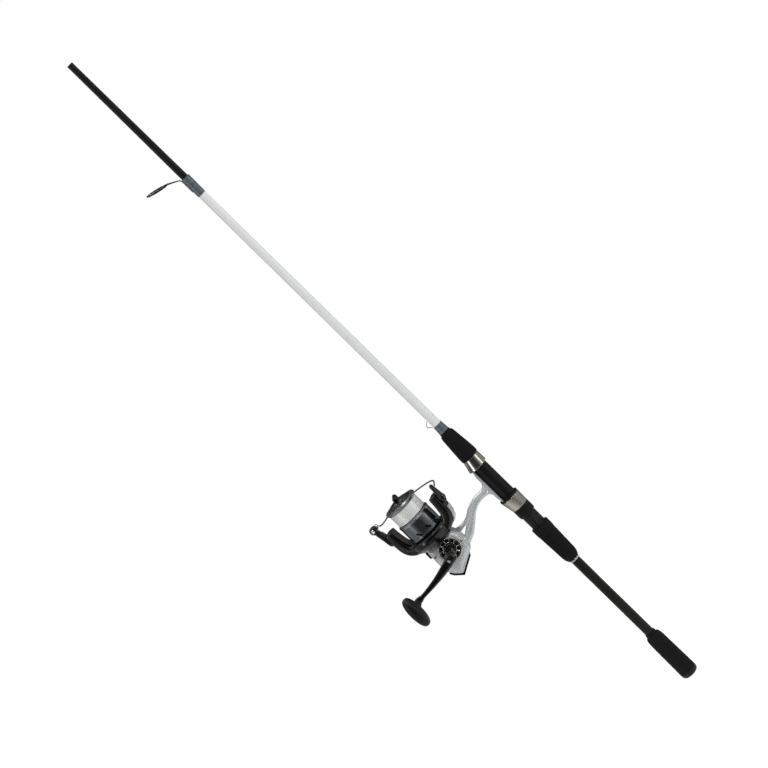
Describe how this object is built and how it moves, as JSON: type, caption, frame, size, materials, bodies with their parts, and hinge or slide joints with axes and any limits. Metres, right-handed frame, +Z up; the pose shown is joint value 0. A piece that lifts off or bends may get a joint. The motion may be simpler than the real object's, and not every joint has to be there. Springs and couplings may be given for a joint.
{
  "type": "fishing rod with spinning reel",
  "caption": "Butt section of a two-piece spinning rod with a threaded reel seat, stripping guide and a skirted-spool spinning reel with folding handle.",
  "frame": {"origin": "centre of the flat on the butt end's face", "axes": "+Z up the rod's axis to the ferrule mouth; the reel hangs towards -X with its handle towards -Y"},
  "size_m": [0.1849, 0.151, 1.0462],
  "materials": {
    "blank": "gloss black and white clear coat over carbon",
    "foam": "matte textured foam",
    "wrap": "epoxy over grey thread",
    "hood_metal": "champagne anodised",
    "seat_plastic": "satin moulded",
    "body_silver": "silver painted",
    "rotor_black": "semi-gloss black",
    "spool_gunmetal": "gunmetal anodised",
    "steel": "polished",
    "brass": "machined",
    "line": "wound monofilament",
    "felt": "pressed felt",
    "ceramic": "polished ceramic",
    "rubber": "matte moulded",
    "dark_plastic": "gloss moulded"
  },
  "bodies": {
    "rod": {"rod_blank": "blank", "ferrule_socket": "blank", "butt_grip": "foam", "butt_cap": "rubber", "rear_grip": "foam", "winding_check": "steel", "foregrip": "foam", "foregrip_wrap": "wrap", "hook_keeper": "steel", "guide_wrap": "wrap", "guide_frame": "spool_gunmetal", "guide_insert": "ceramic", "reel_seat": "seat_plastic", "front_hood": "hood_metal", "body_frame": "body_silver", "side_cover": "body_silver", "cover_screw_1": "steel", "cover_screw_2": "steel", "side_ring": "hood_metal", "wheel_well": "dark_plastic", "spoke_wheel": "steel", "bearing_cap": "dark_plastic", "rear_guard": "dark_plastic", "handle_cap": "dark_plastic", "drive_bearing_cover": "steel", "drive_bearing_body": "steel", "pinion_bearing": "steel", "one_way_clutch": "steel"},
    "sliding_hood": {"rear_hood": "hood_metal", "hood_cushion": "rubber"},
    "locknut": {"locknut": "seat_plastic"},
    "crank": {"drive_gear": "brass", "handle_shank": "rotor_black"},
    "handle_arm": {"handle_arm": "rotor_black", "fold_pin": "steel", "knob_spindle": "steel"},
    "handle_knob": {"handle_knob": "rubber"},
    "oscillation_gear": {"oscillation_gear": "brass"},
    "rotor": {"rotor": "rotor_black", "rotor_nut": "steel", "rotor_trim": "body_silver", "pinion_gear": "brass", "bail_screw_left": "steel", "bail_screw_right": "steel"},
    "bail": {"bail_arm": "rotor_black", "bail_arm_opposite": "rotor_black", "bail_wire": "spool_gunmetal", "roller_screw": "steel"},
    "line_roller": {"line_roller": "steel"},
    "main_shaft": {"main_shaft": "steel", "oscillation_slider": "dark_plastic", "click_ratchet": "dark_plastic", "drag_washer_2": "steel"},
    "spool": {"spool": "spool_gunmetal", "wound_line": "line", "drag_washer_1": "felt", "drag_washer_3": "felt"},
    "drag_knob": {"drag_knob": "dark_plastic"},
    "anti_reverse_lever": {"anti_reverse_lever": "dark_plastic"}
  },
  "joints": [
    {"name": "crank_turn", "type": "hinge", "parent": "rod", "child": "crank", "pos_m": [-0.0946, 0, 0.323], "axis": [0, -1, 0], "continuous": true},
    {"name": "handle_fold", "type": "hinge", "parent": "crank", "child": "handle_arm", "pos_m": [-0.0946, -0.0615, 0.323], "axis": [-0.1495, 0, 0.9888], "range_deg": [-48, 0]},
    {"name": "knob_spin", "type": "hinge", "parent": "handle_arm", "child": "handle_knob", "pos_m": [-0.15986, -0.0615, 0.31313], "axis": [-0.1392, -0.9903, 0], "continuous": true},
    {"name": "rotor_turn", "type": "hinge", "parent": "rod", "child": "rotor", "pos_m": [-0.0998, 0, 0.35], "axis": [0, 0, 1], "continuous": true},
    {"name": "oscillation_gear_turn", "type": "hinge", "parent": "rod", "child": "oscillation_gear", "pos_m": [-0.0946, 0, 0.3108], "axis": [0, -1, 0], "continuous": true},
    {"name": "bail_flip", "type": "hinge", "parent": "rotor", "child": "bail", "pos_m": [-0.0998, 0, 0.3745], "axis": [0.9511, -0.309, 0], "range_deg": [0, 110]},
    {"name": "line_roller_spin", "type": "hinge", "parent": "bail", "child": "line_roller", "pos_m": [-0.14801, 0.01409, 0.3977], "axis": [0.3907, 0.9205, 0], "continuous": true},
    {"name": "shaft_oscillation", "type": "slide", "parent": "rod", "child": "main_shaft", "axis": [0, 0, 1], "range_m": [0, 0.017]},
    {"name": "spool_drag_slip", "type": "hinge", "parent": "main_shaft", "child": "spool", "pos_m": [-0.0998, 0, 0.39], "axis": [0, 0, 1], "continuous": true},
    {"name": "drag_knob_turn", "type": "hinge", "parent": "main_shaft", "child": "drag_knob", "pos_m": [-0.0998, 0, 0.405], "axis": [0, 0, 1], "range_deg": [-360, 720]},
    {"name": "anti_reverse_flip", "type": "hinge", "parent": "rod", "child": "anti_reverse_lever", "pos_m": [-0.1205, 0, 0.3295], "axis": [1, 0, 0], "range_deg": [0, 25]},
    {"name": "hood_slide", "type": "slide", "parent": "rod", "child": "sliding_hood", "axis": [0, 0, 1], "range_m": [-0.016, 0]},
    {"name": "locknut_turn", "type": "hinge", "parent": "sliding_hood", "child": "locknut", "pos_m": [0, 0, 0.291], "axis": [0, 0, 1], "range_deg": [-2880, 0]}
  ],
  "couplings": [
    {"joint": "rotor_turn", "follows": "crank_turn", "ratio": -5.2},
    {"joint": "oscillation_gear_turn", "follows": "crank_turn", "ratio": -0.5},
    {"joint": "locknut_turn", "follows": "hood_slide", "rad_per_m": 3141.6}
  ]
}
